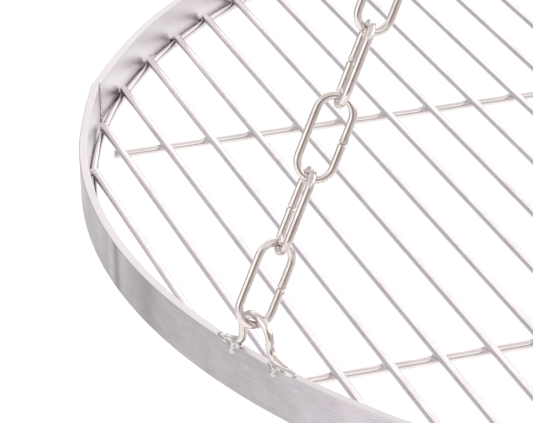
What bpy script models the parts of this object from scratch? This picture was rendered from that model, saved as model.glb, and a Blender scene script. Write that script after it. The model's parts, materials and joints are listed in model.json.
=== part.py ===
"""A campfire tripod grate: a round welded grate that hangs level from a hook on three chains.

Metres, +Z up. The origin is the hang point, the inside of the hook's upper bowl. The hook holds a ring, the
ring holds three chains of equal length, and each chain ends in an eye that is welded to the grate's hoop.
Bars run along Y. Chain a is at azimuth 200 degrees, and chains b and c follow at 120 degree steps.
"""
from math import cos, degrees, pi, radians, sin, sqrt

import bmesh
import bpy
from mathutils import Matrix, Vector

MM = 0.001
GAP = 0.3 * MM  # between pieces that touch or are welded

# Hoop: a flat bar rolled into a circle and stood on edge
HOOP_RADIUS = 400 * MM
HOOP_THICKNESS = 4 * MM
HOOP_HEIGHT = 21.6 * MM
HOOP_STEPS = 96

# Grate: bars on a support ring and on two cross wires, all of one wire
WIRE_RADIUS = 2 * MM
BAR_SPACING = 22.55 * MM
BARS_EACH_SIDE = 16  # of the middle bar, at the even spacing
OUTER_BAR_X = 379.3 * MM
BAR_END_RADIUS = 393.4 * MM
BAR_SIDES = 8
RING_WIRE_RADIUS_FROM_AXIS = HOOP_RADIUS - HOOP_THICKNESS - WIRE_RADIUS - 0.4 * MM
RING_WIRE_STEPS = 72
CROSS_WIRE_Y = 129 * MM
CROSS_WIRE_HALF_LENGTH = 363 * MM

# Eye: an omega of thinner wire, whose feet lie along the hoop's top edge
EYE_WIRE_RADIUS = 1.8 * MM
EYE_AXIS_RADIUS = 397.7 * MM
EYE_HEIGHT = 17.8 * MM  # of the crown's centre line, over the hoop's top edge
EYE_LEG_RADIUS = 9 * MM  # half the distance between the legs, and the crown's radius
EYE_FOOT_END = 25.5 * MM
EYE_FOOT_BEND = 4 * MM

# Chain: long links, which sag a little between the eye and the ring
CHAIN_AZIMUTHS = {"a": 200, "b": 320, "c": 80}
LINKS = 27
SEPARATE_LINKS = 4  # the lowest links, the others are joined into one run
LINK_WIRE_RADIUS = 1.75 * MM
LINK_INNER_LENGTH = 32 * MM
LINK_WIDTH = 18.5 * MM  # outside
LINK_HALF_LENGTH = LINK_INNER_LENGTH / 2 + LINK_WIRE_RADIUS  # of the centre line
LINK_CROWN_RADIUS = LINK_WIDTH / 2 - LINK_WIRE_RADIUS
PITCH = 2 * LINK_HALF_LENGTH - 2 * LINK_WIRE_RADIUS - GAP
LOW_TWISTS = (-15, -29, -37, -32)  # degrees, of the separate links about the chain's line
RUN_TWIST = -17  # degrees, at the lowest link of the run
RUN_WIRE_RADIUS = 2.3 * MM  # of the run's square wire, whose crowns merge
RUN_END_PLAY = 0.25 * MM  # more gap at each end of the run, so that it clears the ring as it swings
CHAIN_SAG = 5.6 * MM  # at mid length, from the chain's weight and the grate's pull

# Top ring and hook, of thicker wire
TOP_WIRE_RADIUS = 3 * MM
TOP_RING_RADIUS = 25 * MM
RING_AZIMUTH = 290  # of the ring's plane
HOOK_BOWL_RADIUS = 14 * MM
HOOK_BOWL_DISTANCE = 40 * MM  # between the centres of the two bowls
HOOK_TIP_ANGLE = 20  # degrees, by which each tip closes in past the bowl's half circle

# Heights, from the hang point down
HOOK_UPPER_Z = TOP_WIRE_RADIUS - HOOK_BOWL_RADIUS
HOOK_LOWER_Z = HOOK_UPPER_Z - HOOK_BOWL_DISTANCE
HOOK_SEAT_Z = HOOK_LOWER_Z - HOOK_BOWL_RADIUS
RING_CENTRE_Z = HOOK_SEAT_Z + 2 * TOP_WIRE_RADIUS + GAP - TOP_RING_RADIUS
RING_SEAT_Z = RING_CENTRE_Z - TOP_RING_RADIUS
FIRST_LINK_CENTRE = LINK_HALF_LENGTH - LINK_WIRE_RADIUS - EYE_WIRE_RADIUS - GAP  # from the eye
TOP_SEAT = LINK_HALF_LENGTH - LINK_WIRE_RADIUS - TOP_WIRE_RADIUS - GAP  # from the last link to the ring
CHAIN_LENGTH = FIRST_LINK_CENTRE + (LINKS - 1) * PITCH + TOP_SEAT
EYE_Z = RING_SEAT_Z - sqrt(CHAIN_LENGTH**2 - EYE_AXIS_RADIUS**2)
HOOP_TOP_Z = EYE_Z - EYE_HEIGHT
LOW_WIRE_Z = HOOP_TOP_Z - HOOP_HEIGHT + WIRE_RADIUS
BAR_Z = LOW_WIRE_Z + 2 * WIRE_RADIUS + GAP
GRATE_SWING_Z = RING_SEAT_Z + 1.5 * MM  # the mean height of the three chains' seats on the ring


def clear_scene():
    for item in list(bpy.data.objects):
        bpy.data.objects.remove(item, do_unlink=True)


def steel(name, colour, roughness):
    material = bpy.data.materials.new(name)
    material.use_nodes = True
    shader = material.node_tree.nodes["Principled BSDF"]
    shader.inputs["Base Color"].default_value = (*colour, 1)
    shader.inputs["Metallic"].default_value = 1
    shader.inputs["Roughness"].default_value = roughness
    return material


def level(azimuth):
    """The level unit vector at an azimuth in degrees."""
    return Vector((cos(radians(azimuth)), sin(radians(azimuth)), 0))


def upright(azimuth):
    """Axes that put a flat line upright: X level at an azimuth, Y up."""
    return Matrix((level(azimuth), Vector((0, 0, 1)), level(azimuth - 90))).transposed().to_4x4()


def axis_empty(name, location, parent=None):
    empty = bpy.data.objects.new(name, None)
    bpy.context.collection.objects.link(empty)
    empty.empty_display_size = 0.03
    put(empty, Matrix.Translation(location), parent)
    return empty


def put(item, matrix, parent):
    """Places an object in the world, under a parent that may have a place of its own."""
    item.parent = parent
    if parent:
        bpy.context.view_layer.update()
        item.matrix_parent_inverse = parent.matrix_world.inverted()
    item.matrix_basis = matrix


def wire_curve(name, line, radius, sides, cyclic):
    """Round wire along a line of points, as a curve. An open one has filled ends."""
    curve = bpy.data.curves.new(name, "CURVE")
    curve.dimensions = "3D"
    curve.bevel_depth = radius
    curve.bevel_resolution = (sides - 4) // 2
    curve.use_fill_caps = not cyclic
    spline = curve.splines.new("POLY")
    spline.points.add(len(line) - 1)
    for point, place in zip(spline.points, line):
        point.co = (*place, 1)
    spline.use_cyclic_u = cyclic
    return curve


def add(name, data, material, parent, matrix=Matrix.Identity(4)):
    item = bpy.data.objects.new(name, data)
    bpy.context.collection.objects.link(item)
    data.materials.append(material)
    put(item, matrix, parent)
    return item


def circle(radius, steps):
    """Points around a circle in the XY plane."""
    return arc((0, 0), radius, 0, 360, steps)[:-1]


def arc(centre, radius, start, end, steps):
    """Points on an arc in the XY plane, from one angle in degrees to another."""
    angles = (radians(start + (end - start) * n / steps) for n in range(steps + 1))
    return [Vector((centre[0] + radius * cos(a), centre[1] + radius * sin(a), 0)) for a in angles]


def make_hoop(material, parent):
    mesh = bpy.data.meshes.new("hoop")
    work = bmesh.new()
    inner = HOOP_RADIUS - HOOP_THICKNESS
    low = HOOP_TOP_Z - HOOP_HEIGHT
    profile = ((inner, low), (HOOP_RADIUS, low), (HOOP_RADIUS, HOOP_TOP_Z), (inner, HOOP_TOP_Z))
    corners = [work.verts.new((radius, 0, z)) for radius, z in profile]
    edges = [work.edges.new((corners[n], corners[n - 1])) for n in range(4)]
    spin = {"cent": (0, 0, 0), "axis": (0, 0, 1), "angle": 2 * pi, "steps": HOOP_STEPS}
    bmesh.ops.spin(work, geom=corners + edges, use_merge=True, **spin)
    bmesh.ops.remove_doubles(work, verts=work.verts, dist=0.01 * MM)
    bmesh.ops.recalc_face_normals(work, faces=work.faces)
    work.to_mesh(mesh)
    work.free()
    add("hoop", mesh, material, parent)


def make_support_ring(material, parent):
    line = circle(RING_WIRE_RADIUS_FROM_AXIS, RING_WIRE_STEPS)
    curve = wire_curve("support_ring", line, WIRE_RADIUS, 6, cyclic=True)
    add("support_ring", curve, material, parent, Matrix.Translation((0, 0, LOW_WIRE_Z)))


def rod_mesh(name, length):
    """A straight rod along Z, centred."""
    mesh = bpy.data.meshes.new(name)
    work = bmesh.new()
    radii = {"radius1": WIRE_RADIUS, "radius2": WIRE_RADIUS}
    bmesh.ops.create_cone(work, cap_ends=True, segments=BAR_SIDES, depth=length, **radii)
    work.to_mesh(mesh)
    work.free()
    mesh.shade_smooth()
    mesh.set_sharp_from_angle(angle=radians(50))
    return mesh


def bar_places():
    """The bars' X positions, from -X to +X."""
    inner = [n * BAR_SPACING for n in range(-BARS_EACH_SIDE, BARS_EACH_SIDE + 1)]
    return [-OUTER_BAR_X, *inner, OUTER_BAR_X]


def make_bars(material, parent):
    along_y = Matrix.Rotation(pi / 2, 4, "X")
    for number, x in enumerate(bar_places(), 1):
        name = f"grill_bar_{number:02d}"
        length = 2 * sqrt(BAR_END_RADIUS**2 - x**2)
        add(name, rod_mesh(name, length), material, parent, Matrix.Translation((x, 0, BAR_Z)) @ along_y)


def make_cross_wires(material, parent):
    along_x = Matrix.Rotation(pi / 2, 4, "Y")
    for number, y in enumerate((CROSS_WIRE_Y, -CROSS_WIRE_Y), 1):
        name = f"cross_wire_{number}"
        mesh = rod_mesh(name, 2 * CROSS_WIRE_HALF_LENGTH)
        add(name, mesh, material, parent, Matrix.Translation((0, y, LOW_WIRE_Z)) @ along_x)


def eye_line():
    """The omega's centre line: X along the hoop, Y up from the top of the crown."""
    foot_y = EYE_WIRE_RADIUS + GAP - EYE_HEIGHT
    bend_x = EYE_LEG_RADIUS + EYE_FOOT_BEND
    right = [Vector((EYE_FOOT_END, foot_y, 0))]
    right += arc((bend_x, foot_y + EYE_FOOT_BEND), EYE_FOOT_BEND, 270, 180, 3)
    crown = arc((0, -EYE_LEG_RADIUS), EYE_LEG_RADIUS, 0, 180, 10)
    left = [Vector((-p.x, p.y, 0)) for p in reversed(right)]
    return right + crown + left


def make_eye(letter, azimuth, material, parent):
    name = f"chain_eye_{letter}"
    curve = wire_curve(name, eye_line(), EYE_WIRE_RADIUS, 6, cyclic=False)
    place = Matrix.Translation(level(azimuth) * EYE_AXIS_RADIUS + Vector((0, 0, EYE_Z)))
    add(name, curve, material, parent, place @ upright(azimuth + 90))


def link_line(steps=6):
    """A link's centre line in the XY plane, centred, with its length along X."""
    straight = LINK_HALF_LENGTH - LINK_CROWN_RADIUS
    far = arc((straight, 0), LINK_CROWN_RADIUS, -90, 90, steps)
    near = arc((-straight, 0), LINK_CROWN_RADIUS, 90, 270, steps)
    return far + near


class Chain:
    """The line of one chain, a shallow parabola under a straight axis, and its links' places."""

    def __init__(self, azimuth):
        self.eye = level(azimuth) * EYE_AXIS_RADIUS + Vector((0, 0, EYE_Z))
        seat, seat_wire = ring_seat(azimuth)
        self.length = (seat - self.eye).length
        self.axis = (seat - self.eye).normalized()
        self.under = (self.axis * self.axis.z - Vector((0, 0, 1))).normalized()
        self.across = level(azimuth + 90)  # the way that a link at no twist faces
        self.pitch = (self.length - FIRST_LINK_CENTRE - TOP_SEAT) / (LINKS - 1)
        self.top_twist = self.twist_that_faces(seat_wire)

    def twist_that_faces(self, way):
        """The last link's twist, within 90 degrees of the run's own, that faces it this way."""
        start = self.frame(0, self.length - TOP_SEAT).col[2].xyz
        side = 1 if start.cross(way).dot(self.axis) > 0 else -1
        twist = degrees(start.angle(way)) * side
        return (twist - RUN_TWIST + 90) % 180 - 90 + RUN_TWIST

    def frame(self, twist, along):
        """A link's axes at a twist in degrees: X along the chain, Z the way that the link faces."""
        slope = 4 * CHAIN_SAG * (1 - 2 * along / self.length) / self.length
        tangent = (self.axis + self.under * slope).normalized()
        faces = (self.across - tangent * self.across.dot(tangent)).normalized()
        faces = Matrix.Rotation(radians(twist), 3, tangent) @ faces
        return Matrix((tangent, faces.cross(tangent), faces)).transposed().to_4x4()

    def twist(self, number):
        """Link 1 is the lowest. Each link stands across the one before it."""
        if number <= SEPARATE_LINKS:
            play = LOW_TWISTS[number - 1]
        else:
            share = (number - SEPARATE_LINKS - 1) / (LINKS - SEPARATE_LINKS - 1)
            play = RUN_TWIST + (self.top_twist - RUN_TWIST) * share
        return play + 90 * ((number - 1) % 2)

    def place(self, number, shift=0):
        """The matrix of a link, moved along the chain by the shift."""
        along = FIRST_LINK_CENTRE + (number - 1) * self.pitch + shift
        drop = 4 * CHAIN_SAG * along / self.length * (1 - along / self.length)
        centre = self.eye + self.axis * along + self.under * drop
        return Matrix.Translation(centre) @ self.frame(self.twist(number), along)


def ring_seat(azimuth):
    """Where a chain sits on the top ring's centre line, and the way the ring's wire runs there.

    The wire runs square to the chain there.
    """
    in_plane = level(RING_AZIMUTH)
    lean = EYE_AXIS_RADIUS / (RING_SEAT_Z - EYE_Z) * level(azimuth).dot(in_plane)
    down = 1 / sqrt(1 + lean**2)
    way = in_plane * down + Vector((0, 0, lean * down))
    from_centre = in_plane * lean * down - Vector((0, 0, down))
    return Vector((0, 0, RING_CENTRE_Z)) + TOP_RING_RADIUS * from_centre, way


def make_separate_links(letter, chain, material, parent):
    for number in range(1, SEPARATE_LINKS + 1):
        name = f"chain_{letter}_link_{number}"
        curve = wire_curve(name, link_line(), LINK_WIRE_RADIUS, 6, cyclic=True)
        add(name, curve, material, parent, chain.place(number))


def add_square_link(work, place):
    """A link of square wire, standing on an edge, so that crossing crowns meet edge to edge."""
    line = link_line(4)
    rounds = []
    for point in line:
        straight = LINK_HALF_LENGTH - LINK_CROWN_RADIUS
        centre = Vector((min(max(point.x, -straight), straight), 0, 0))
        outward = (point - centre).normalized() * RUN_WIRE_RADIUS
        up = Vector((0, 0, RUN_WIRE_RADIUS))
        corners = (point + outward, point + up, point - outward, point - up)
        rounds.append([work.verts.new(place @ corner) for corner in corners])
    for n, now in enumerate(rounds):
        before = rounds[n - 1]
        for k in range(4):
            work.faces.new((before[k], before[k - 1], now[k - 1], now[k]))


def make_run(letter, chain, material, parent):
    """The rest of the chain as one body, of slightly thick links that merge where they cross."""
    name = f"chain_{letter}_run"
    origin = chain.place(SEPARATE_LINKS + 1).translation
    numbers = range(SEPARATE_LINKS + 1, LINKS + 1)
    halves = []
    for odd in (1, 0):
        mesh = bpy.data.meshes.new(name)
        work = bmesh.new()
        for number in numbers:
            if number % 2 != odd:
                continue
            share = 2 * (number - numbers[0]) / (len(numbers) - 1) - 1
            shift = share * (RUN_WIRE_RADIUS - LINK_WIRE_RADIUS + RUN_END_PLAY)
            add_square_link(work, Matrix.Translation(-origin) @ chain.place(number, shift))
        bmesh.ops.recalc_face_normals(work, faces=work.faces)
        work.to_mesh(mesh)
        work.free()
        halves.append(mesh)
    place = Matrix.Translation(origin)
    run = add(name, halves[0], material, parent, place)
    cutter = add(f"{name}_even_links", halves[1], material, parent, place)
    cutter.hide_render = True
    cutter.display_type = "WIRE"
    union = run.modifiers.new("join", "BOOLEAN")
    union.operation = "UNION"
    union.solver = "EXACT"
    union.object = cutter


def make_top_ring(material, parent):
    curve = wire_curve("top_ring", circle(TOP_RING_RADIUS, 32), TOP_WIRE_RADIUS, 8, cyclic=True)
    place = Matrix.Translation((0, 0, RING_CENTRE_Z)) @ upright(RING_AZIMUTH)
    add("top_ring", curve, material, parent, place)


def hook_line():
    """The S hook's centre line: X level, Y up from the hang point."""
    lower = arc((0, HOOK_LOWER_Z), HOOK_BOWL_RADIUS, 180 - HOOK_TIP_ANGLE, 360, 12)
    upper = arc((0, HOOK_UPPER_Z), HOOK_BOWL_RADIUS, 180, HOOK_TIP_ANGLE, 10)
    steps = 6
    back = []
    for n in range(1, steps):
        x = HOOK_BOWL_RADIUS * cos(pi * n / steps)
        back.append(Vector((x, HOOK_LOWER_Z + HOOK_BOWL_DISTANCE * n / steps, 0)))
    return lower + back + upper


def make_hook(material):
    curve = wire_curve("hook", hook_line(), TOP_WIRE_RADIUS, 6, cyclic=False)
    add("hook", curve, material, None, upright(RING_AZIMUTH - 90))


def main():
    clear_scene()
    brushed = steel("brushed_flat_bar", (0.62, 0.60, 0.60), 0.34)
    grill = steel("grill_wire", (0.66, 0.64, 0.63), 0.26)
    polished = steel("chain_steel", (0.66, 0.63, 0.60), 0.18)
    ring_axis = axis_empty("ring_swing_axis", (0, 0, HOOK_SEAT_Z))
    grate_axis = axis_empty("grate_swing_axis", (0, 0, GRATE_SWING_Z), ring_axis)
    make_hook(polished)
    make_top_ring(polished, ring_axis)
    make_hoop(brushed, grate_axis)
    make_support_ring(grill, grate_axis)
    make_bars(grill, grate_axis)
    make_cross_wires(grill, grate_axis)
    for letter, azimuth in CHAIN_AZIMUTHS.items():
        chain = Chain(azimuth)
        make_eye(letter, azimuth, polished, grate_axis)
        make_separate_links(letter, chain, polished, grate_axis)
        make_run(letter, chain, polished, grate_axis)


main()
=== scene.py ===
"""Looks of the campfire tripod grate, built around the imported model.

Metres, +Z up. The frame's origin is the hang point. Every piece is made again here in fine form, as round
wire or flat bar, and gets its welds. Places and main sizes come from the frame, and small details are named
below.
"""

import json
from math import atan2, cos, degrees, exp, hypot, inf, pi, radians, sin, sqrt
from random import Random

import bmesh
import bpy
from mathutils import Matrix, Vector, noise


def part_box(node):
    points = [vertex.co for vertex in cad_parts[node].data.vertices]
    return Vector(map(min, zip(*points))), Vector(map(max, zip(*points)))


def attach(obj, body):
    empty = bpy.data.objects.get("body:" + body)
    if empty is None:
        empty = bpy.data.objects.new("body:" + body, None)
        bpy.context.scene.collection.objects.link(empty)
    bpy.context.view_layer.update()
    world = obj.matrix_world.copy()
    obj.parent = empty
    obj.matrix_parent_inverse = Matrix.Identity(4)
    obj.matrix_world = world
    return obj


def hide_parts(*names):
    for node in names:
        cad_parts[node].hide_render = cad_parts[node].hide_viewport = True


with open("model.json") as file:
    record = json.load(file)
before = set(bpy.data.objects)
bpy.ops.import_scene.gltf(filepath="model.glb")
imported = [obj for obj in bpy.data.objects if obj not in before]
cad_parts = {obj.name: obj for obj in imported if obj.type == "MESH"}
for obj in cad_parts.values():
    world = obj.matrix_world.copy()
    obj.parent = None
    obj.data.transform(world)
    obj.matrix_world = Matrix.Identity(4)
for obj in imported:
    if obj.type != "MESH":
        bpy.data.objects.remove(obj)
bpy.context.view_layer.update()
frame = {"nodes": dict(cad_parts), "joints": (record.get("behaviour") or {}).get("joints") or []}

MM = 0.001
UP = Vector((0, 0, 1))
SHARP_ANGLE = 30  # degrees between faces, over which an edge is shaded sharp

# The camera, relative to the middle of the hoop's top, in hoop radii and degrees
CAMERA_PLACE = (-1.7598, -3.0900, 1.4452)
CAMERA_HEADING = 73.02
CAMERA_PITCH = -24.13
CAMERA_ROLL = -1.472
CAMERA_LENS = 213.8  # mm, on a 36 mm sensor
FLOOR_DROP = 360 * MM  # from the hoop's bottom to the floor
FLOOR_HALF_SIZE = 30
FLOOR_TONE = 0.93

# The light around: tones by height, 0 straight down, 0.5 level, 1 straight up
WORLD_STRENGTH = 1.65
DARK_SIDE = (
    (0.10, 0.62), (0.28, 0.60), (0.40, 0.40), (0.52, 0.37),
    (0.66, 0.42), (0.735, 1.0), (0.80, 0.85), (0.92, 0.55))
BRIGHT_SIDE = ((0.50, 0.80), (0.62, 1.0), (0.72, 1.0), (0.80, 0.85), (0.92, 0.55))
DARK_AZIMUTH = 122  # ahead on the left
DARK_EDGE = (0.68, 0.80)  # cosines of the angle from that azimuth, where the dark begins and is full
BACK_DARK_EDGE = (-0.68, -0.90)  # the same for the fainter dark opposite
BACK_DARK = 0.8  # how much of the dark is left there
CAMERA_SIDE = (250, 12)  # azimuth and elevation of the dark behind the camera
CAMERA_SIDE_EDGE = (0.84, 0.96)  # cosines, as for the dark ahead
CAMERA_SIDE_TONE = (0.27, 0.225, 0.205)

# Hoop
HOOP_THICKNESS = 4 * MM
HOOP_EDGE = 0.45 * MM  # radius of the flat bar's rounded edges
HOOP_STEPS = 360
SEAM_AZIMUTH = 154.2
SEAM_KINK = 1.5 * MM  # how far the joint stands out, because the bar's ends stay straight
SEAM_KINK_REACH = 16 * MM
SEAM_BACK_BEND = (0.25, 45 * MM, 20 * MM)  # the dip beside it: share of the kink, distance, width
SEAM_STEP = 0.3 * MM  # mismatch of the two ends
SEAM_STEP_REACH = 25 * MM
SEAM_ROUNDS = (0.3 * MM, 0.7 * MM, 1.2 * MM, 2 * MM, 3 * MM)  # extra cuts of the hoop, each side of the seam
SEAM_BEADS = 13
SEAM_GAP = 0.06 * MM
PAINTED_DARK_REFLECTIONS = ((181.8, 5 * MM, 0.65), (187.5, 9 * MM, 0.35))  # painted dark reflections on the hoop's outer face: azimuth, half width, depth of each
FACE_MARGIN = 0.6 * MM  # from each face of the bar, where its tone, painted light inside and painted shade outside, starts to change to the other face's
TACK_AZIMUTHS = (142.1, 164, 200, 236, 272, 308, 344, 20, 56, 92, 118)
TACK_BEADS = 3
TACK_STEP = 1.8 * MM
TACK_INSET = 0.7 * MM  # from the hoop's inner face to the middle of a bead
TACK_HEIGHT = 0.75  # of the bead's middle, in wire radii above the support ring's centre line

# Wire
WIRE_RADIUS = 2 * MM
WIRE_SIDES = 20
PRESS = 0.2 * MM  # how far crossing wires are pressed into each other by the spot weld
BAR_END_CHAMFER = 0.25 * MM
SPOT_HEIGHT = 0.9 * MM  # half the height of a spot weld's bead

# Eyes
EYE_WIRE_RADIUS = 1.8 * MM
EYE_LEG_RADIUS = 9 * MM
# The eye's leg and foot, mm along the hoop and up from the crown: it flares and sinks into the weld
EYE_LEG = (
    (9, -9), (9, -10.6), (9.4, -12.6), (10.6, -14.6), (12.8, -16), (16, -16.9), (20.5, -17.8), (25, -19.2))
EYE_TIP_SHARE = 0.85  # the wire's radius at its two ends
DRIP_OFFSETS = {1: 13.4 * MM, -1: -14.4 * MM}  # of the weld drips, from the eye's middle along the hoop
WELD_GRAIN = 0.25 * MM  # voxel size of the melted beads
WELD_SMOOTHING = 12  # rounds
# The weld's puddles along a foot, mm: place along it, height over the hoop's edge, and half sizes
FOOT_WELD = (
    (11.5, 0.1, (2.6, 1.8, 1.5)),
    (15.5, 0.4, (4.6, 2.0, 1.5)),
    (21, 0.2, (5.0, 2.0, 1.7)))
FOOT_WELD_OUT = -1.4  # mm, out from the hoop's outer face
# The drip's two beads, mm: out from the hoop's outer face, height over its edge, half sizes, and roughness
DRIP = (
    (-0.7, -0.6, (2.6, 1.8, 1.7), 0.04),
    (-0.3, -2.2, (2.6, 1.6, 2.3), 0.03))

# Chain
LINKS = 27
SEPARATE_LINKS = 4
LINK_WIRE_RADIUS = 1.75 * MM
LINK_HALF_LENGTH = 17.75 * MM
LINK_CROWN_RADIUS = 7.5 * MM
LOW_TWISTS = (-15, -29, -37, -32)
RUN_TWIST = -17
TOP_TWISTS = {"a": 0, "b": 62.97, "c": -62.97}
CHAIN_SAG = 5.6 * MM
RUN_END_PLAY = 0.3 * MM  # how far the last link stands up from its even place, to clear the top ring
TOP_SEAT = 12.7 * MM  # from the last link's centre to the top ring's centre line
LINK_SIDES = 16
LINK_WELD_ROUNDS = (0.15, 0.3, 0.6, 1.0, 1.5, 2.2, 3.2, 5, 7.5)  # mm from the weld, where the wire has points
LINK_COLLAR = (0.17, 1.7 * MM)  # the weld's swell: share of the wire's radius, and reach along the wire
LINK_NICK = (0.42, 0.28 * MM)  # the same of the cut in its middle
FRONT_LEAN = {1: 1.1 * MM, 2: 0.75 * MM, 3: 0.4 * MM, 4: 0.15 * MM}  # of chain a's lowest links, to the side
LEAN_WAY = (-0.953, 0.302, 0)

# Top ring and hook
TOP_WIRE_RADIUS = 3 * MM
TOP_WIRE_SIDES = 24
RING_STEPS = 96
RING_WELD_STEP = 14
RING_WELD_SWELL = (0.08, 2 * MM)  # share of the wire's radius, and its reach along the wire
HOOK_WIRE_RADIUS = 2.92 * MM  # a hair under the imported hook, which has fewer sides
# The hook's rounded tips: distance past the bowl's arc, mm, and the wire's radius there as a share
HOOK_TIP = ((0.54, 0.95), (0.81, 0.8), (0.891, 0.55))
RING_AZIMUTH = 290
HOOK_BOWL_RADIUS = 14 * MM
HOOK_BOWL_DISTANCE = 40 * MM
HOOK_TIP_ANGLE = 20


def level(azimuth):
    return Vector((cos(radians(azimuth)), sin(radians(azimuth)), 0))


def centre_of(node):
    low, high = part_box(node)
    return (Vector(low) + Vector(high)) / 2


def size_of(node):
    low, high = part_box(node)
    return Vector(high) - Vector(low)


HOOP_LOW, HOOP_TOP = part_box("hoop")[0][2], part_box("hoop")[1][2]
HOOP_RADIUS = size_of("hoop").x / 2
LOW_WIRE_Z = HOOP_LOW + WIRE_RADIUS
BAR_Z = LOW_WIRE_Z + 2 * WIRE_RADIUS - PRESS


# ---------------------------------------------------------------- mesh helpers

def finish_mesh(name, work, material):
    bmesh.ops.recalc_face_normals(work, faces=work.faces)
    mesh = bpy.data.meshes.new(name)
    work.to_mesh(mesh)
    work.free()
    mesh.materials.append(material)
    mesh.shade_smooth()
    mesh.set_sharp_from_angle(angle=radians(SHARP_ANGLE))
    item = bpy.data.objects.new(name, mesh)
    bpy.context.collection.objects.link(item)
    return item


def frames_along(points, closed):
    """At each point the wire's direction and two directions across it, carried along without a turn."""
    count = len(points)
    ways = []
    for n in range(count):
        if closed:
            way = points[(n + 1) % count] - points[n - 1]
        else:
            way = points[min(n + 1, count - 1)] - points[max(n - 1, 0)]
        ways.append(way.normalized())
    across = ways[0].orthogonal().normalized()
    frames = []
    for n in range(count):
        if n:
            across = ways[n - 1].rotation_difference(ways[n]) @ across
            across = (across - ways[n] * across.dot(ways[n])).normalized()
        frames.append((ways[n], across, ways[n].cross(across)))
    return frames


def add_wire(work, points, radii, sides, closed):
    """Round wire of a radius for each point. An open wire's ends are closed with a flat cap."""
    rounds = []
    for point, radius, (_, across, other) in zip(points, radii, frames_along(points, closed)):
        ring = []
        for k in range(sides):
            angle = 2 * pi * k / sides
            ring.append(work.verts.new(point + (across * cos(angle) + other * sin(angle)) * radius))
        rounds.append(ring)
    for n in range(0 if closed else 1, len(rounds)):
        for k in range(sides):
            work.faces.new((rounds[n - 1][k - 1], rounds[n - 1][k], rounds[n][k], rounds[n][k - 1]))
    if not closed:
        work.faces.new(rounds[0])
        work.faces.new(rounds[-1])


def add_blob(work, centre, axes, seed, rough, detail):
    """A weld bead: a lumpy ellipsoid on three axes."""
    made = bmesh.ops.create_icosphere(work, subdivisions=detail, radius=1)
    for vert in made["verts"]:
        way = vert.co.normalized()
        swell = 1 + rough * noise.noise(way * 1.7 + Vector((seed, seed * 0.37, 0)))
        vert.co = centre + sum((axis * part for axis, part in zip(axes, way * swell)), Vector())


def fuse(work):
    """Melts overlapping blobs into one skin."""
    mesh = bpy.data.meshes.new("blobs")
    work.to_mesh(mesh)
    item = bpy.data.objects.new("blobs", mesh)
    bpy.context.collection.objects.link(item)
    skin = item.modifiers.new("skin", "REMESH")
    skin.mode = "VOXEL"
    skin.voxel_size = WELD_GRAIN
    smooth = item.modifiers.new("smooth", "SMOOTH")
    smooth.factor = 0.5
    smooth.iterations = WELD_SMOOTHING
    shaped = item.evaluated_get(bpy.context.evaluated_depsgraph_get())
    work.clear()
    work.from_mesh(shaped.to_mesh())
    shaped.to_mesh_clear()
    bpy.data.objects.remove(item)
    bpy.data.meshes.remove(mesh)


def arc(centre, radius, start, end, steps):
    """Points on a flat arc, between two angles in degrees."""
    angles = (radians(start + (end - start) * n / steps) for n in range(steps + 1))
    return [Vector((centre[0] + radius * cos(a), centre[1] + radius * sin(a), 0)) for a in angles]


def upright(azimuth):
    """Axes that put a flat line upright: X level at an azimuth, Y up."""
    return Matrix((level(azimuth), UP, level(azimuth - 90))).transposed().to_4x4()


def settle(piece, body, slot, *nodes):
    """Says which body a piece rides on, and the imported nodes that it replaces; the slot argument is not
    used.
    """
    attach(piece, body)
    if nodes:
        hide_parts(*nodes)


# ---------------------------------------------------------------- materials

class Nodes:
    """Short calls for building the nodes of a material or of the world."""

    def __init__(self, tree):
        self.tree = tree

    def link(self, value, socket):
        if hasattr(value, "is_output"):
            self.tree.links.new(value, socket)
        else:
            socket.default_value = value

    def place(self):
        return self.tree.nodes.new("ShaderNodeTexCoord").outputs["Object"]

    def math(self, kind, a, b=0.0, c=0.0):
        node = self.tree.nodes.new("ShaderNodeMath")
        node.operation = kind
        for value, socket in zip((a, b, c), node.inputs):
            self.link(value, socket)
        return node.outputs[0]

    def split(self, vector):
        node = self.tree.nodes.new("ShaderNodeSeparateXYZ")
        self.link(vector, node.inputs[0])
        return node.outputs

    def join(self, x, y, z):
        node = self.tree.nodes.new("ShaderNodeCombineXYZ")
        for value, socket in zip((x, y, z), node.inputs):
            self.link(value, socket)
        return node.outputs[0]

    def stretched(self, vector, scale):
        node = self.tree.nodes.new("ShaderNodeMapping")
        self.link(vector, node.inputs["Vector"])
        node.inputs["Scale"].default_value = scale
        return node.outputs[0]

    def noise(self, vector, scale, detail=3.0, rough=0.5):
        node = self.tree.nodes.new("ShaderNodeTexNoise")
        self.link(vector, node.inputs["Vector"])
        node.inputs["Scale"].default_value = scale
        node.inputs["Detail"].default_value = detail
        node.inputs["Roughness"].default_value = rough
        return node.outputs["Fac"]

    def ramp(self, value, *stops):
        node = self.tree.nodes.new("ShaderNodeValToRGB")
        self.link(value, node.inputs[0])
        points = node.color_ramp.elements
        while len(points) < len(stops):
            points.new(0.5)
        for point, (place, colour) in zip(points, stops):
            point.position = place
            point.color = (*colour, 1)
        return node.outputs["Color"]

    def range(self, value, low, high, to_low, to_high):
        node = self.tree.nodes.new("ShaderNodeMapRange")
        self.link(value, node.inputs["Value"])
        for name, number in (("From Min", low), ("From Max", high), ("To Min", to_low), ("To Max", to_high)):
            node.inputs[name].default_value = number
        return node.outputs[0]

    def mix(self, share, first, second):
        node = self.tree.nodes.new("ShaderNodeMix")
        node.data_type = "RGBA"
        for value, number in ((share, 0), (first, 6), (second, 7)):
            self.link(value, node.inputs[number])
        return node.outputs[2]

    def dot(self, vector, way):
        node = self.tree.nodes.new("ShaderNodeVectorMath")
        node.operation = "DOT_PRODUCT"
        self.link(vector, node.inputs[0])
        node.inputs[1].default_value = way
        return node.outputs["Value"]


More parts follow.
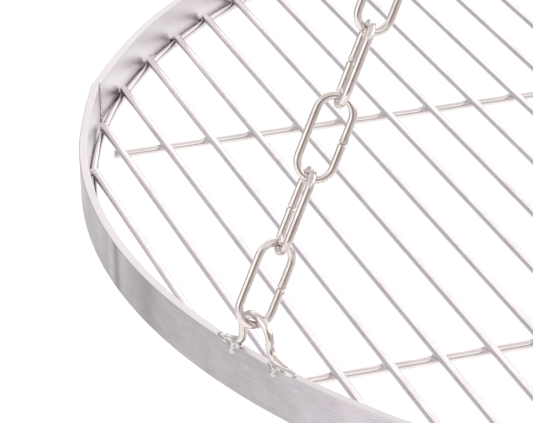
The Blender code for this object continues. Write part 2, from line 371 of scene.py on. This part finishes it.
class Material(Nodes):
    """A material with one Principled BSDF."""

    def __init__(self, name):
        self.material = bpy.data.materials.new(name)
        self.material.use_nodes = True
        super().__init__(self.material.node_tree)
        self.shader = self.tree.nodes["Principled BSDF"]

    def bump(self, height, strength, distance):
        """Bumps the surface by a height from 0 to 1, which stands for a distance in metres."""
        node = self.tree.nodes.new("ShaderNodeBump")
        self.link(height, node.inputs["Height"])
        node.inputs["Strength"].default_value = strength
        node.inputs["Distance"].default_value = distance
        self.tree.links.new(node.outputs[0], self.shader.inputs["Normal"])

    def around(self):
        """Coordinates that unroll the hoop: metres along it, height, and distance from its axis."""
        x, y, z = self.split(self.place())
        along = self.math("MULTIPLY", self.math("ARCTAN2", y, x), HOOP_RADIUS)
        square = self.math("ADD", self.math("MULTIPLY", x, x), self.math("MULTIPLY", y, y))
        distance = self.math("SQRT", square)
        return self.join(along, z, distance)


def steel(name, colours, roughness, vector_of, grain_scale, grain_bump, patch_scale):
    """Bare steel: soft patches of tone, fine lines along the metal, and roughness that follows them."""
    nodes = Material(name)
    vector = vector_of(nodes)
    patches = nodes.noise(vector, patch_scale, 4.0, 0.6)
    grain = nodes.noise(nodes.stretched(vector, grain_scale), 1.0, 6.0, 0.7)
    mixed = nodes.math("ADD", nodes.math("MULTIPLY", patches, 0.6), nodes.math("MULTIPLY", grain, 0.4))
    nodes.link(nodes.ramp(mixed, (0.3, colours[0]), (0.7, colours[1])), nodes.shader.inputs["Base Color"])
    nodes.shader.inputs["Metallic"].default_value = 1
    nodes.link(nodes.range(mixed, 0.3, 0.7, *roughness), nodes.shader.inputs["Roughness"])
    nodes.bump(grain, grain_bump, 0.1 * MM)
    return nodes.material


def flat_bar():
    """The hoop's steel: brushed, painted shade on the outer face and painted light on the inner, even on top,
    and two painted dark reflections outside.
    """
    nodes = Material("brushed_flat_bar_fine")
    vector = nodes.around()
    along, height, distance = nodes.split(vector)
    on_top = nodes.range(height, HOOP_TOP - HOOP_EDGE, HOOP_TOP - HOOP_EDGE / 2, 0, 1)
    inner_face, outer_face = HOOP_RADIUS - HOOP_THICKNESS, HOOP_RADIUS
    # 0 on the inner face, 1 on the outer: where the inner face's painted light gives way to the outer face's
    #                                      painted shade
    outside = nodes.range(distance, inner_face + FACE_MARGIN, outer_face - FACE_MARGIN, 0, 1)
    grain = nodes.noise(nodes.stretched(vector, (70, 1500, 1500)), 1.0, 6.0, 0.75)
    patches = nodes.noise(vector, 26.0, 4.0, 0.6)
    mixed = nodes.math("ADD", nodes.math("MULTIPLY", patches, 0.45), nodes.math("MULTIPLY", grain, 0.55))
    # Painted light and shade: one steel, in a lighter lit copy for the inner face and a darker shaded copy
    # for the outer face
    inner = nodes.ramp(mixed, (0.3, (0.66, 0.62, 0.635)), (0.7, (0.77, 0.73, 0.745)))
    outer = nodes.ramp(mixed, (0.32, (0.37, 0.337, 0.362)), (0.68, (0.66, 0.61, 0.645)))
    tone = nodes.mix(outside, inner, outer)
    # Painted dark reflections: soft near-black bands painted on the outer face only
    for azimuth, width, depth in PAINTED_DARK_REFLECTIONS:
        place = radians((azimuth + 180) % 360 - 180) * HOOP_RADIUS
        away = nodes.math("DIVIDE", nodes.math("SUBTRACT", along, place), width)
        dark_reflection_mask = nodes.math("EXPONENT", nodes.math("MULTIPLY", nodes.math("MULTIPLY", away, away), -1.0))
        share = nodes.math("MULTIPLY", nodes.math("MULTIPLY", dark_reflection_mask, outside), depth)
        tone = nodes.mix(share, tone, (0.12, 0.115, 0.12, 1))
    tone = nodes.mix(on_top, tone, (0.56, 0.52, 0.525, 1))
    nodes.link(tone, nodes.shader.inputs["Base Color"])
    nodes.shader.inputs["Metallic"].default_value = 1
    nodes.link(nodes.range(mixed, 0.3, 0.7, 0.42, 0.30), nodes.shader.inputs["Roughness"])
    nodes.shader.inputs["Anisotropic"].default_value = 0.6
    nodes.shader.inputs["Anisotropic Rotation"].default_value = 0.25
    tangent = nodes.tree.nodes.new("ShaderNodeTangent")
    tangent.direction_type = "RADIAL"
    tangent.axis = "Z"
    nodes.link(tangent.outputs[0], nodes.shader.inputs["Tangent"])
    nodes.bump(grain, 0.35, 0.15 * MM)
    return nodes.material


FLAT_BAR = flat_bar()
GRILL_WIRE = steel(
    "grill_wire_fine", colours=((0.56, 0.52, 0.54), (0.70, 0.655, 0.68)), roughness=(0.20, 0.12),
    vector_of=Material.place, grain_scale=(900, 140, 900), grain_bump=0.12, patch_scale=60.0)
CROSS_WIRE = steel(
    "cross_wire_fine", colours=((0.62, 0.57, 0.555), (0.77, 0.715, 0.70)), roughness=(0.20, 0.12),
    vector_of=Material.place, grain_scale=(140, 900, 900), grain_bump=0.12, patch_scale=60.0)
RING_WIRE = steel(
    "ring_wire_fine", colours=((0.56, 0.52, 0.54), (0.70, 0.655, 0.68)), roughness=(0.20, 0.12),
    vector_of=Material.around, grain_scale=(60, 900, 900), grain_bump=0.12, patch_scale=60.0)
CHAIN = steel(
    "chain_steel_fine", colours=((0.52, 0.46, 0.44), (0.79, 0.735, 0.72)), roughness=(0.12, 0.05),
    vector_of=Material.place, grain_scale=(420, 420, 420), grain_bump=0.10, patch_scale=90.0)
WELD = steel(
    "weld_fine", colours=((0.38, 0.35, 0.34), (0.70, 0.67, 0.66)), roughness=(0.16, 0.07),
    vector_of=Material.place, grain_scale=(700, 700, 700), grain_bump=0.06, patch_scale=260.0)


# ---------------------------------------------------------------- grate

def seam_distance(azimuth):
    """Metres along the hoop from the butt weld, positive on the way to more azimuth."""
    away = (azimuth - SEAM_AZIMUTH + 180) % 360 - 180
    return radians(away) * HOOP_RADIUS


def hoop_shift(azimuth):
    """How far the flat bar stands out of its circle, where its two straight ends meet."""
    away = seam_distance(azimuth)
    share, place, width = SEAM_BACK_BEND
    kink = exp(-abs(away) / SEAM_KINK_REACH)
    dip = share * exp(-((abs(away) - place) / width) ** 2)
    step = SEAM_STEP / 2 * (1 if away > 0 else -1) * exp(-abs(away) / SEAM_STEP_REACH)
    return SEAM_KINK * (kink - dip) + step


def hoop_profile():
    """The flat bar's section as (radius, height): rounded edges with a point on the flat on each side."""
    inner, outer = HOOP_RADIUS - HOOP_THICKNESS, HOOP_RADIUS
    corners = (
        (outer, HOOP_TOP, -1, -1),
        (inner, HOOP_TOP, 1, -1),
        (inner, HOOP_LOW, 1, 1),
        (outer, HOOP_LOW, -1, 1))
    profile = []
    for number, (radius, z, side, rise) in enumerate(corners):
        start = 90 * number
        middle = (radius + side * HOOP_EDGE, z + rise * HOOP_EDGE)
        rounded = arc(middle, HOOP_EDGE, start, start + 90, 4)
        flat = Vector((-sin(radians(start)), cos(radians(start)), 0)) * HOOP_EDGE / 2
        turned = Vector((-flat.y, flat.x, 0))
        for point in (rounded[0] - flat, *rounded, rounded[-1] + turned):
            profile.append((point.x, point.y))
    return profile


def make_hoop():
    work = bmesh.new()
    azimuths = [SEAM_AZIMUTH + 360 * n / HOOP_STEPS for n in range(1, HOOP_STEPS)]
    for distance in (*SEAM_ROUNDS, SEAM_GAP):
        turn = degrees(distance / HOOP_RADIUS)
        azimuths += [SEAM_AZIMUTH + turn, SEAM_AZIMUTH - turn]
    azimuths = sorted(set(a if a > SEAM_AZIMUTH else a + 360 for a in azimuths))
    rounds = []
    for azimuth in azimuths:
        shift = hoop_shift(azimuth)
        rounds.append([work.verts.new(level(azimuth) * (r + shift) + UP * z) for r, z in hoop_profile()])
    for n, now in enumerate(rounds):
        before = rounds[n - 1]
        for k in range(len(now)):
            work.faces.new((before[k - 1], before[k], now[k], now[k - 1]))
    hoop = finish_mesh("hoop_flat_bar", work, FLAT_BAR)
    settle(hoop, "grate", "brushed_flat_bar", "hoop")


def make_hoop_weld():
    """The butt weld's bead: left rough on the hoop's inner face and top, ground flush outside."""
    work = bmesh.new()
    rng = Random(5)
    just_before = SEAM_AZIMUTH - 0.01
    inner = HOOP_RADIUS - HOOP_THICKNESS + hoop_shift(just_before)
    out = level(SEAM_AZIMUTH)
    along = level(SEAM_AZIMUTH + 90)
    lowest, highest = HOOP_LOW + 2 * MM, HOOP_TOP - 0.6 * MM
    for n in range(SEAM_BEADS):
        z = lowest + (highest - lowest) * n / (SEAM_BEADS - 1)
        centre = out * inner + along * rng.uniform(-0.3, 0.3) * MM + UP * z
        axes = (along * rng.uniform(0.9, 1.3) * MM, UP * 1.4 * MM, out * rng.uniform(0.35, 0.6) * MM)
        add_blob(work, centre, axes, n, 0.3, 2)
    bead = finish_mesh("hoop_butt_weld", work, WELD)
    settle(bead, "grate", "brushed_flat_bar")


def make_support_ring():
    work = bmesh.new()
    steps = 240
    radius = HOOP_RADIUS - HOOP_THICKNESS - WIRE_RADIUS
    points = []
    for n in range(steps):
        azimuth = 360 * n / steps
        inward = min(hoop_shift(azimuth), 0)
        points.append(level(azimuth) * (radius + inward) + UP * LOW_WIRE_Z)
    add_wire(work, points, [WIRE_RADIUS] * steps, WIRE_SIDES, closed=True)
    ring = finish_mesh("support_ring_wire", work, RING_WIRE)
    settle(ring, "grate", "grill_wire", "support_ring")


def straight_wire(work, start, end, steps, bow=Vector()):
    """A straight cut wire, with a small chamfer at its ends and hardly any bow."""
    way = (end - start).normalized()
    points = [start, start + way * BAR_END_CHAMFER]
    points += [start.lerp(end, n / steps) + bow * (1 - (2 * n / steps - 1) ** 2) for n in range(1, steps)]
    points += [end - way * BAR_END_CHAMFER, end]
    radii = [WIRE_RADIUS] * len(points)
    radii[0] = radii[-1] = WIRE_RADIUS - BAR_END_CHAMFER
    add_wire(work, points, radii, WIRE_SIDES, closed=False)


def bar_nodes():
    return sorted(name for name in frame["nodes"] if name.startswith("grill_bar_"))


def make_bars():
    rng = Random(11)
    for node in bar_nodes():
        centre, size = centre_of(node), size_of(node)
        x = centre.x + rng.uniform(-0.2, 0.2) * MM
        start = Vector((x, -size.y / 2 + rng.uniform(-0.8, 0.8) * MM, BAR_Z))
        end = Vector((x + rng.uniform(-0.3, 0.3) * MM, size.y / 2 + rng.uniform(-0.8, 0.8) * MM, BAR_Z))
        work = bmesh.new()
        straight_wire(work, start, end, 8, Vector((rng.uniform(-0.35, 0.35) * MM, 0, 0)))
        bar = finish_mesh(node.replace("grill_bar", "grill_rod"), work, GRILL_WIRE)
        settle(bar, "grate", "grill_wire", node)


def make_cross_wires():
    for number in (1, 2):
        node = f"cross_wire_{number}"
        centre, size = centre_of(node), size_of(node)
        half = Vector((size.x / 2, 0, 0))
        place = Vector((centre.x, centre.y, LOW_WIRE_Z))
        work = bmesh.new()
        straight_wire(work, place - half, place + half, 8)
        wire = finish_mesh(f"cross_rod_{number}", work, CROSS_WIRE)
        settle(wire, "grate", "grill_wire", node)


def make_spot_welds():
    """Metal pressed out where the bars cross the cross wires and the support ring."""
    work = bmesh.new()
    rng = Random(3)
    ring_radius = HOOP_RADIUS - HOOP_THICKNESS - WIRE_RADIUS
    z = LOW_WIRE_Z + WIRE_RADIUS - PRESS / 2
    number = 0
    for node in bar_nodes():
        x = centre_of(node).x
        places = []
        for wire in ("cross_wire_1", "cross_wire_2"):
            if abs(x) < size_of(wire).x / 2:
                places.append(Vector((x, centre_of(wire).y, z)))
        reach = sqrt(ring_radius ** 2 - x ** 2) if abs(x) < ring_radius else 0
        places += [Vector((x, side * reach, z)) for side in (1, -1)]
        for place in places:
            number += 1
            wide = rng.uniform(1.7, 2.3) * MM
            axes = (Vector((wide, 0, 0)), Vector((0, rng.uniform(1.7, 2.3) * MM, 0)), UP * SPOT_HEIGHT)
            add_blob(work, place, axes, number * 3.1, 0.35, 2)
    welds = finish_mesh("spot_welds", work, WELD)
    settle(welds, "grate", "grill_wire")


def make_tack_welds():
    """Short beads that hold the support ring to the hoop."""
    work = bmesh.new()
    rng = Random(8)
    radius = HOOP_RADIUS - HOOP_THICKNESS - TACK_INSET
    z = LOW_WIRE_Z + WIRE_RADIUS * TACK_HEIGHT
    for number, azimuth in enumerate(TACK_AZIMUTHS):
        out, along = level(azimuth), level(azimuth + 90)
        for part in range(TACK_BEADS):
            offset = (part - (TACK_BEADS - 1) / 2) * TACK_STEP
            place = out * radius + along * offset + UP * z
            axes = (
                along * rng.uniform(1.4, 2.1) * MM,
                out * rng.uniform(1.1, 1.7) * MM,
                UP * rng.uniform(1, 1.7) * MM)
            add_blob(work, place, axes, number * 5.3 + part, 0.3, 2)
    welds = finish_mesh("ring_tack_welds", work, WELD)
    settle(welds, "grate", "grill_wire")


# ---------------------------------------------------------------- eyes

def smooth_line(corners, steps):
    """A smooth line through the corners, with this many steps between each two."""
    ends = [2 * corners[0] - corners[1], *corners, 2 * corners[-1] - corners[-2]]
    line = []
    for n in range(1, len(ends) - 2):
        a, b, c, d = ends[n - 1:n + 3]
        for t in (k / steps for k in range(steps)):
            line.append((2 * b + (c - a) * t + (2 * a - 5 * b + 4 * c - d) * t ** 2
                         + (3 * b - a - 3 * c + d) * t ** 3) / 2)
    return line + [corners[-1]]


def eye_line():
    """The omega's centre line: X along the hoop, Y up from the top of the crown."""
    leg = [Vector((x * MM, y * MM, 0)) for x, y in reversed(EYE_LEG)]
    right = smooth_line(leg, 5)
    crown = arc((0, -EYE_LEG_RADIUS), EYE_LEG_RADIUS, 0, 180, 24)
    left = [Vector((-p.x, p.y, 0)) for p in reversed(right)]
    return right[:-1] + crown + left[1:]


def on_hoop(azimuth, radius, point):
    """Puts a point of the eye's plane on the hoop, bent round it."""
    turned = azimuth + degrees(point.x / radius)
    return level(turned) * radius + UP * point.y


def make_eye(letter):
    node = f"chain_eye_{letter}"
    joint = next(j for j in frame["joints"] if j["name"] == f"chain_{letter}_twist")
    top = Vector(joint["pos_m"])
    azimuth = degrees(atan2(top.y, top.x))
    radius = hypot(top.x, top.y)
    line = [on_hoop(azimuth, radius, p) + UP * top.z for p in eye_line()]
    radii = [EYE_WIRE_RADIUS] * len(line)
    radii[0] = radii[-1] = EYE_WIRE_RADIUS * EYE_TIP_SHARE
    work = bmesh.new()
    add_wire(work, line, radii, WIRE_SIDES, closed=False)
    eye = finish_mesh(f"chain_eye_{letter}_wire", work, CHAIN)
    settle(eye, "grate", "chain_steel", node)
    make_eye_welds(letter, azimuth)


def make_eye_welds(letter, azimuth):
    """The puddles along each foot, and a drip from each down the hoop's outer face, melted together."""
    work = bmesh.new()
    rng = Random(int(azimuth))

    def add(x, out_by, up_by, half, rough):
        out = level(azimuth + degrees(x / HOOP_RADIUS))
        along = Vector((-out.y, out.x, 0))
        place = out * (HOOP_RADIUS + out_by * MM) + UP * (HOOP_TOP + up_by * MM)
        axes = (along * half[0] * MM, out * half[1] * MM, UP * half[2] * MM)
        add_blob(work, place, axes, rng.uniform(0, 50), rough, 3)

    for side in (1, -1):
        for x, up_by, half in FOOT_WELD:
            add(side * x * MM, FOOT_WELD_OUT, up_by, half, 0.1)
        for out_by, up_by, half, rough in DRIP:
            add(DRIP_OFFSETS[side], out_by, up_by, half, rough)
    fuse(work)
    beads = finish_mesh(f"chain_eye_{letter}_welds", work, WELD)
    settle(beads, "grate", "chain_steel")


# ---------------------------------------------------------------- chains

def link_line():
    """A link's centre line in its plane, with the length along X, and each point's distance from the weld."""
    straight = LINK_HALF_LENGTH - LINK_CROWN_RADIUS
    line = arc((straight, 0), LINK_CROWN_RADIUS, -90, 90, 14)
    line += [Vector((straight * share, LINK_CROWN_RADIUS, 0)) for share in (0.5, 0, -0.5)]
    line += arc((-straight, 0), LINK_CROWN_RADIUS, 90, 270, 14)
    weld = [inf] * len(line)
    near = [-d * MM for d in reversed(LINK_WELD_ROUNDS)] + [0] + [d * MM for d in LINK_WELD_ROUNDS]
    for x in near:
        line.append(Vector((x, -LINK_CROWN_RADIUS, 0)))
        weld.append(abs(x))
    return line, weld


def weld_swell(distance):
    """The wire's radius near a butt weld, as a share: a swollen collar with a nick in the middle."""
    collar, collar_reach = LINK_COLLAR
    nick, nick_reach = LINK_NICK
    return 1 + collar * exp(-(distance / collar_reach) ** 2) - nick * exp(-(distance / nick_reach) ** 2)


def add_link(work, place, flip):
    """One link, with its weld on the other side if it is flipped."""
    line, weld = link_line()
    side = -1 if flip else 1
    points = [place @ Vector((p.x, side * p.y, 0)) for p in line]
    radii = [LINK_WIRE_RADIUS * weld_swell(distance) for distance in weld]
    add_wire(work, points, radii, LINK_SIDES, closed=True)


class Chain:
    """The line of one chain, a shallow parabola under a straight axis, and its links' places."""

    def __init__(self, letter):
        joint = next(j for j in frame["joints"] if j["name"] == f"chain_{letter}_twist")
        self.letter = letter
        self.eye = Vector(joint["pos_m"])
        self.axis = Vector(joint["axis"]).normalized()
        first = (centre_of(f"chain_{letter}_link_1") - self.eye).dot(self.axis)
        last = (centre_of(f"chain_{letter}_link_{SEPARATE_LINKS}") - self.eye).dot(self.axis)
        self.first = first
        self.pitch = (last - first) / (SEPARATE_LINKS - 1)
        self.length = first + self.pitch * (LINKS - 1) + TOP_SEAT
        self.under = (self.axis * self.axis.z - UP).normalized()
        self.across = level(degrees(atan2(self.eye.y, self.eye.x)) + 90)

    def twist(self, number):
        """The turn of a link about the chain's line, in degrees: every second one is turned by 90 more."""
        if number <= SEPARATE_LINKS:
            play = LOW_TWISTS[number - 1]
        else:
            share = (number - SEPARATE_LINKS - 1) / (LINKS - SEPARATE_LINKS - 1)
            play = RUN_TWIST + (TOP_TWISTS[self.letter] - RUN_TWIST) * share
        return play + 90 * ((number - 1) % 2)

    def place(self, number):
        """Where a link stands: X along the chain, Z square to the link's plane."""
        upper = max(number - SEPARATE_LINKS, 0) / (LINKS - SEPARATE_LINKS)
        along = self.first + (number - 1) * self.pitch + upper * RUN_END_PLAY
        share = along / self.length
        tangent = (self.axis + self.under * 4 * CHAIN_SAG * (1 - 2 * share) / self.length).normalized()
        faces = (self.across - tangent * self.across.dot(tangent)).normalized()
        faces = Matrix.Rotation(radians(self.twist(number)), 3, tangent) @ faces
        centre = self.eye + self.axis * along + self.under * 4 * CHAIN_SAG * share * (1 - share)
        if self.letter == "a":
            centre += Vector(LEAN_WAY) * FRONT_LEAN.get(number, 0)
        turn = Matrix((tangent, faces.cross(tangent), faces)).transposed().to_4x4()
        return Matrix.Translation(centre) @ turn


def make_chain(letter):
    chain = Chain(letter)
    for number in range(1, SEPARATE_LINKS + 1):
        work = bmesh.new()
        add_link(work, chain.place(number), flip=False)
        node = f"chain_{letter}_link_{number}"
        link = finish_mesh(f"{node}_wire", work, CHAIN)
        settle(link, node, "chain_steel", node)
    work = bmesh.new()
    rng = Random(ord(letter))
    for number in range(SEPARATE_LINKS + 1, LINKS + 1):
        add_link(work, chain.place(number), flip=rng.random() < 0.5)
    run = finish_mesh(f"chain_{letter}_upper_links", work, CHAIN)
    settle(run, f"chain_{letter}_run", "chain_steel", f"chain_{letter}_run")


# ---------------------------------------------------------------- ring and hook

def make_top_ring():
    low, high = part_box("top_ring")
    centre = centre_of("top_ring")
    radius = (high[2] - low[2]) / 2 - TOP_WIRE_RADIUS
    place = Matrix.Translation(centre) @ upright(RING_AZIMUTH)
    line, radii = [], []
    swell, reach = RING_WELD_SWELL
    for n in range(RING_STEPS):
        angle = 2 * pi * n / RING_STEPS
        line.append(place @ Vector((radius * cos(angle), radius * sin(angle), 0)))
        steps_away = min((n - RING_WELD_STEP) % RING_STEPS, (RING_WELD_STEP - n) % RING_STEPS)
        distance = steps_away * 2 * pi * radius / RING_STEPS
        radii.append(TOP_WIRE_RADIUS * (1 + swell * exp(-(distance / reach) ** 2)))
    work = bmesh.new()
    add_wire(work, line, radii, TOP_WIRE_SIDES, closed=True)
    ring = finish_mesh("top_ring_wire", work, CHAIN)
    settle(ring, "ring", "chain_steel", "top_ring")


def make_hook():
    """Two bowls that open to opposite sides, joined by a half wave of a cosine."""
    upper = TOP_WIRE_RADIUS - HOOK_BOWL_RADIUS
    lower = upper - HOOK_BOWL_DISTANCE
    line = arc((0, lower), HOOK_BOWL_RADIUS, 180 - HOOK_TIP_ANGLE, 360, 30)
    steps = 20
    for n in range(1, steps):
        x = HOOK_BOWL_RADIUS * cos(pi * n / steps)
        line.append(Vector((x, lower + HOOK_BOWL_DISTANCE * n / steps, 0)))
    line += arc((0, upper), HOOK_BOWL_RADIUS, 180, HOOK_TIP_ANGLE, 26)
    radii = [HOOK_WIRE_RADIUS] * len(line)
    start, start_way = line[0], (line[0] - line[1]).normalized()
    end, end_way = line[-1], (line[-1] - line[-2]).normalized()
    for distance, share in HOOK_TIP:
        line = [start + start_way * distance * MM, *line, end + end_way * distance * MM]
        radii = [HOOK_WIRE_RADIUS * share, *radii, HOOK_WIRE_RADIUS * share]
    turn = upright(RING_AZIMUTH - 90)
    work = bmesh.new()
    add_wire(work, [turn @ point for point in line], radii, TOP_WIRE_SIDES, closed=False)
    hook = finish_mesh("s_hook_wire", work, CHAIN)
    settle(hook, "hook", "chain_steel", "hook")


# ---------------------------------------------------------------- studio

def make_camera():
    data = bpy.data.cameras.new("camera")
    data.lens = CAMERA_LENS
    data.sensor_width = 36
    data.clip_start = 0.05
    camera = bpy.data.objects.new("camera", data)
    bpy.context.collection.objects.link(camera)
    turn = Matrix.Rotation(radians(CAMERA_HEADING - 90), 4, "Z")
    turn @= Matrix.Rotation(radians(90 + CAMERA_PITCH), 4, "X")
    turn @= Matrix.Rotation(radians(CAMERA_ROLL), 4, "Z")
    place = Vector(CAMERA_PLACE) * HOOP_RADIUS + UP * HOOP_TOP
    camera.matrix_world = Matrix.Translation(place) @ turn
    bpy.context.scene.camera = camera


def soft_box(name, place, target, size, power):
    data = bpy.data.lights.new(name, "AREA")
    data.shape = "RECTANGLE"
    data.size, data.size_y = size
    data.energy = power
    light = bpy.data.objects.new(name, data)
    bpy.context.collection.objects.link(light)
    way = Vector(target) - Vector(place)
    light.matrix_world = Matrix.Translation(place) @ way.to_track_quat("-Z", "Y").to_matrix().to_4x4()


def make_studio():
    work = bmesh.new()
    bmesh.ops.create_grid(work, x_segments=1, y_segments=1, size=FLOOR_HALF_SIZE)
    nodes = Material("pale_floor")
    nodes.shader.inputs["Base Color"].default_value = (FLOOR_TONE, FLOOR_TONE, FLOOR_TONE, 1)
    nodes.shader.inputs["Roughness"].default_value = 0.8
    floor_plane = finish_mesh("floor", work, nodes.material)
    floor_plane.location.z = HOOP_LOW - FLOOR_DROP
    floor_plane.visible_glossy = False  # the steel reflects the world's lower half instead
    floor_plane.visible_shadow = False

    soft_box("overhead", place=(0.3, 0.6, 1.5), target=(0, 0, -1), size=(3.2, 3.2), power=3)
    soft_box("right", place=(2.4, -0.7, 0.3), target=(0, 0, -0.9), size=(2.2, 1.5), power=9)
    make_world()
    bpy.context.scene.view_settings.view_transform = "Standard"


def grey_ramp(nodes, value, tones):
    return nodes.ramp(value, *((at, (tone, tone, tone)) for at, tone in tones))


def make_world():
    """Light from all around, brightest a little above level, darker on two sides and behind the camera.

    The fainter of the two dark sides lets the bars show from behind too.
    """
    world = bpy.data.worlds.new("studio")
    bpy.context.scene.world = world
    world.use_nodes = True
    nodes = Nodes(world.node_tree)
    place = nodes.tree.nodes.new("ShaderNodeTexCoord").outputs["Generated"]
    height = nodes.math("MULTIPLY_ADD", nodes.dot(place, UP), 0.5, 0.5)
    dark = grey_ramp(nodes, height, DARK_SIDE)
    bright = grey_ramp(nodes, height, BRIGHT_SIDE)
    left = nodes.dot(place, level(DARK_AZIMUTH))
    ahead = nodes.range(left, *DARK_EDGE, 0, 1)
    behind = nodes.range(left, *BACK_DARK_EDGE, 0, BACK_DARK)
    sides = nodes.mix(nodes.math("ADD", ahead, behind), bright, dark)
    azimuth, elevation = CAMERA_SIDE
    camera_side = level(azimuth) * cos(radians(elevation)) + UP * sin(radians(elevation))
    facing = nodes.range(nodes.dot(place, camera_side), *CAMERA_SIDE_EDGE, 0, 1)
    tone = nodes.mix(facing, sides, (*CAMERA_SIDE_TONE, 1))
    background = nodes.tree.nodes["Background"]
    nodes.link(tone, background.inputs["Color"])
    background.inputs["Strength"].default_value = WORLD_STRENGTH


make_hoop()
make_hoop_weld()
make_support_ring()
make_bars()
make_cross_wires()
make_spot_welds()
make_tack_welds()
for chain_letter in "abc":
    make_eye(chain_letter)
    make_chain(chain_letter)
make_top_ring()
make_hook()
make_studio()
make_camera()
